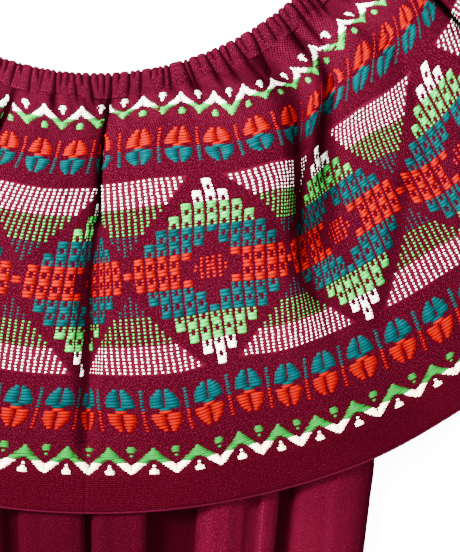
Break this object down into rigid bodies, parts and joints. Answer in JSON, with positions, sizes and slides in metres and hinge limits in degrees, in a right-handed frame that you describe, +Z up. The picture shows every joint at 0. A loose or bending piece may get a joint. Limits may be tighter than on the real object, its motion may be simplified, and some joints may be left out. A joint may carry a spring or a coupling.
{
  "type": "embroidered off-shoulder dress",
  "caption": "Off-shoulder dress with a gathered neck casing, a deep brocaded ruffle and a plain body with vertical folds, laid flat on its back.",
  "frame": {"origin": "middle of the garment's outline, on the surface that its back lies on", "axes": "+Z up through the front of the laid-out dress, +Y from the hem of the dress to the neckline, +X to the right as the front is seen"},
  "size_m": [0.8262, 1.0006, 0.0461],
  "materials": {
    "brocade": "hand-loomed maroon cotton with a raised brocade in white, green, teal and orange",
    "plain_cloth": "plain-woven maroon cotton, matt, with a fine warp",
    "casing": "the same maroon cotton gathered on elastic"
  },
  "bodies": {
    "root": {"ruffle_front": "brocade", "ruffle_back": "brocade", "casing_front": "casing", "casing_back": "casing", "body_front": "plain_cloth", "body_back": "plain_cloth"}
  },
  "joints": []
}
